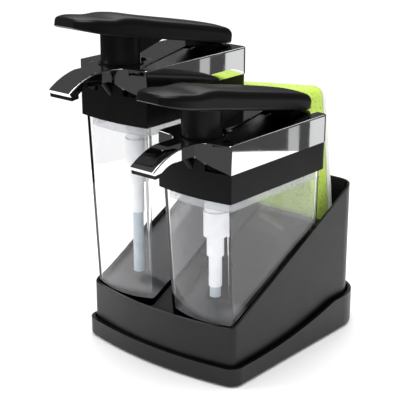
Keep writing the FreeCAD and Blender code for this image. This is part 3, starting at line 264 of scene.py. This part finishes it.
satin_black = moulded_black("satin_black", dark=(0.0030, 0.0025, 0.0025), light=(0.0046, 0.0039, 0.0039),
                            roughness=0.33, gloss=0.36, grain=0.005 * MM)
matt_black = moulded_black("matt_black", dark=(0.0042, 0.0038, 0.0039), light=(0.0060, 0.0054, 0.0056),
                           roughness=0.36, gloss=0.14, grain=0.01 * MM)
finishes = {
    "black_plastic": satin_black,
    "matte_black": matt_black,
    "chrome": mirror_chrome("mirror_chrome"),
    "clear_plastic": clear_wall("clear_wall"),
    "white_plastic": gloss_white("gloss_white"),
    "tube_plastic": milky_tube("milky_tube"),
    "frosted_plastic": frosted_white("frosted_white"),
    "steel": drawn_steel("drawn_steel"),
    "seal_rubber": soft_rubber("seal_rubber"),
    "pad_rubber": soft_rubber("pad_rubber"),
    "sponge_foam": open_foam("open_foam"),
    "sponge_backing": felted_layer("felted_layer"),
}

for subpart in frame["record"]["subparts"]:
    for slot in nodes[subpart["node"]].material_slots:
        slot.material = finishes[subpart["material_slot"]]


# Sponge

SPONGE_LEAN = math.radians(6.0)
SPONGE_WIDTH = 75.0 * MM
SPONGE_HEIGHT = 110.0 * MM
SPONGE_CORNER = 7.0 * MM
CORNER_STEPS = 8
EDGE_STEPS = 3
ROUND_PROFILE = 0.5
PORE_SPACING = 3.1 * MM
PORE_DEPTH = 0.55 * MM
PORE_REACH_SHARE = 0.42
SWELL_LENGTH = 22.0 * MM
SWELL_DEPTH = 0.25 * MM
LUMP_LENGTH = 1.4 * MM
WAVE_LENGTH = 9.0 * MM
FIBRE_DEPTH = 0.12 * MM


def soft_slab(name, thickness, edge, step, roughen):
    """A rounded slab of even faces, roughened along its normals."""
    shape = bmesh.new()
    bmesh.ops.create_cube(shape, size=1.0)
    bmesh.ops.scale(shape, vec=(SPONGE_WIDTH, thickness, SPONGE_HEIGHT), verts=shape.verts)
    posts = [e for e in shape.edges if abs(e.verts[0].co.y - e.verts[1].co.y) > thickness / 2]
    bmesh.ops.bevel(shape, geom=posts, offset=SPONGE_CORNER, segments=CORNER_STEPS, profile=ROUND_PROFILE,
                    affect="EDGES")
    rims = [e for e in shape.edges if abs(e.verts[0].co.y - e.verts[1].co.y) < thickness / 2
            and len({round(f.normal.y, 1) for f in e.link_faces}) > 1]
    bmesh.ops.bevel(shape, geom=rims, offset=edge, segments=EDGE_STEPS, profile=ROUND_PROFILE, affect="EDGES")
    mesh = bpy.data.meshes.new(name)
    shape.to_mesh(mesh)
    shape.free()
    piece = bpy.data.objects.new(name, mesh)
    scene.collection.objects.link(piece)
    remesh = piece.modifiers.new("even_faces", "REMESH")
    remesh.mode = "VOXEL"
    remesh.voxel_size = step
    remesh.use_smooth_shade = True
    bpy.context.view_layer.update()
    shown = piece.evaluated_get(bpy.context.evaluated_depsgraph_get())
    evened = bpy.data.meshes.new_from_object(shown)
    piece.modifiers.clear()
    piece.data = evened
    for vertex in evened.vertices:
        vertex.co += vertex.normal * roughen(vertex.co)
    return piece


def foam_dents(place):
    """Pores and a slow unevenness of cut foam."""
    pore = noise.voronoi(place / PORE_SPACING)[0][0]
    swell = noise.noise(place / SWELL_LENGTH)
    return SWELL_DEPTH * (swell - 1.0) - PORE_DEPTH * max(0.0, PORE_REACH_SHARE - pore) / PORE_REACH_SHARE


def fibre_dents(place):
    """Small lumps of the felted layer."""
    lump = noise.noise(place / LUMP_LENGTH)
    wave = noise.noise(place / WAVE_LENGTH)
    return FIBRE_DEPTH * (lump + wave - 2.0)


def sponge_layer(name, node, edge, step, roughen):
    """A layer that leans as its solid leans, on the middle of the solid's box."""
    low, high = (Vector(corner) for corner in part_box(node))
    piece = soft_slab(name, high.y - low.y, edge, step, roughen)
    piece.data.materials.append(finishes[node])
    lean = Matrix.Rotation(-SPONGE_LEAN, 4, "Y")
    piece.data.transform(Matrix.Translation((low + high) / 2) @ lean)
    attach(piece, "sponge")
    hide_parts(node)


sponge_layer("foam_block", "sponge_foam", edge=1.6 * MM, step=1.1 * MM, roughen=foam_dents)
sponge_layer("backing_layer", "sponge_backing", edge=0.9 * MM, step=1.0 * MM, roughen=fibre_dents)


# Return springs, copied and carried with the pump heads

UPWARDS = (0.0, 0.0, 1.0)


def shortening_spring(side):
    wound = side + "_return_spring"
    coil = bpy.data.objects.new(side + "_coil", nodes[wound].data.copy())
    scene.collection.objects.link(coil)
    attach(coil, side + "_head")
    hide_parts(wound)
    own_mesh(coil)


shortening_spring("tall")
shortening_spring("short")


# Floor

FLOOR_MIDDLE = Vector((0.06, 0.06, 0.0))
FLOOR_RADIUS = 0.445
FLOOR_SIDES = 128

disc = bmesh.new()
bmesh.ops.create_circle(disc, cap_ends=True, segments=FLOOR_SIDES, radius=FLOOR_RADIUS,
                        matrix=Matrix.Translation(FLOOR_MIDDLE))
floor_mesh = bpy.data.meshes.new("floor")
disc.to_mesh(floor_mesh)
disc.free()
paper = Finish("white_paper")
floor_mesh.materials.append(paper.surface(Base_Color=(0.93, 0.93, 0.93, 1.0), Roughness=0.7))
floor = bpy.data.objects.new("floor", floor_mesh)
scene.collection.objects.link(floor)


# A white room, which mirrors see as a dim one, as between the black cards of a studio

ROOM_LIGHT = 1.12
ROOM_SHEEN = 0.07
WHITE = (1.0, 1.0, 1.0, 1.0)

world = bpy.data.worlds.new("studio")
world.use_nodes = True
sky = world.node_tree
rays = sky.nodes.new("ShaderNodeLightPath")
mirrored = sky.nodes.new("ShaderNodeMath")
mirrored.operation = "GREATER_THAN"
sky.links.new(rays.outputs["Is Glossy Ray"], mirrored.inputs[0])
sky.links.new(rays.outputs["Is Transmission Ray"], mirrored.inputs[1])
dimming = sky.nodes.new("ShaderNodeMapRange")
dimming.inputs["To Min"].default_value = ROOM_LIGHT
dimming.inputs["To Max"].default_value = ROOM_SHEEN
sky.links.new(mirrored.outputs[0], dimming.inputs["Value"])
sky.links.new(dimming.outputs["Result"], sky.nodes["Background"].inputs["Strength"])
sky.nodes["Background"].inputs["Color"].default_value = WHITE
scene.world = world


# Soft boxes, and two strips that streak the chrome

def soft_box(name, place, aim, size, power):
    """A soft light at a place, turned to a point, in metres and watts."""
    lamp = bpy.data.lights.new(name, "AREA")
    lamp.shape = "RECTANGLE"
    lamp.size, lamp.size_y = size
    lamp.energy = power
    rig = bpy.data.objects.new(name, lamp)
    rig.location = place
    rig.rotation_euler = (Vector(aim) - Vector(place)).to_track_quat("-Z", "Y").to_euler()
    rig.visible_camera = False
    rig.visible_transmission = False
    scene.collection.objects.link(rig)


soft_box("overhead", place=(0.05, 0.0, 1.3), aim=(0.0, 0.0, 0.1), size=(1.0, 0.7), power=8.0)
soft_box("left_box", place=(-1.0, -0.7, 0.95), aim=(0.0, 0.0, 0.12), size=(0.5, 0.9), power=5.5)
soft_box("back_box", place=(-0.7, 1.1, 1.0), aim=(0.0, 0.0, 0.15), size=(1.0, 0.45), power=2.6)
soft_box("wide_strip", place=(0.41, 0.57, 0.0), aim=(0.05, 0.0, 0.15), size=(0.05, 0.35), power=0.04)
soft_box("thin_strip", place=(0.40, 0.48, 0.0), aim=(0.05, 0.0, 0.15), size=(0.012, 0.35), power=0.006)


# Camera

CAMERA_PLACE = Vector((473.2, -561.2, 351.0)) * MM
CAMERA_AZIMUTH = math.radians(40.477)
CAMERA_PITCH = math.radians(18.939)
FOCAL_PIXELS = 1164.73
PHOTO_PIXELS = 400.0
SENSOR = 36.0

camera_data = bpy.data.cameras.new("camera")
camera_data.sensor_width = SENSOR
camera_data.lens = FOCAL_PIXELS / PHOTO_PIXELS * SENSOR
camera = bpy.data.objects.new("camera", camera_data)
right = Vector((math.cos(CAMERA_AZIMUTH), math.sin(CAMERA_AZIMUTH), 0.0))
level = Vector((math.sin(CAMERA_AZIMUTH), -math.cos(CAMERA_AZIMUTH), 0.0))
back = level * math.cos(CAMERA_PITCH) + Vector(UPWARDS) * math.sin(CAMERA_PITCH)
turn = Matrix((right, back.cross(right), back)).transposed().to_4x4()
camera.matrix_world = Matrix.Translation(CAMERA_PLACE) @ turn
scene.collection.objects.link(camera)
scene.camera = camera
scene.view_settings.view_transform = "Standard"
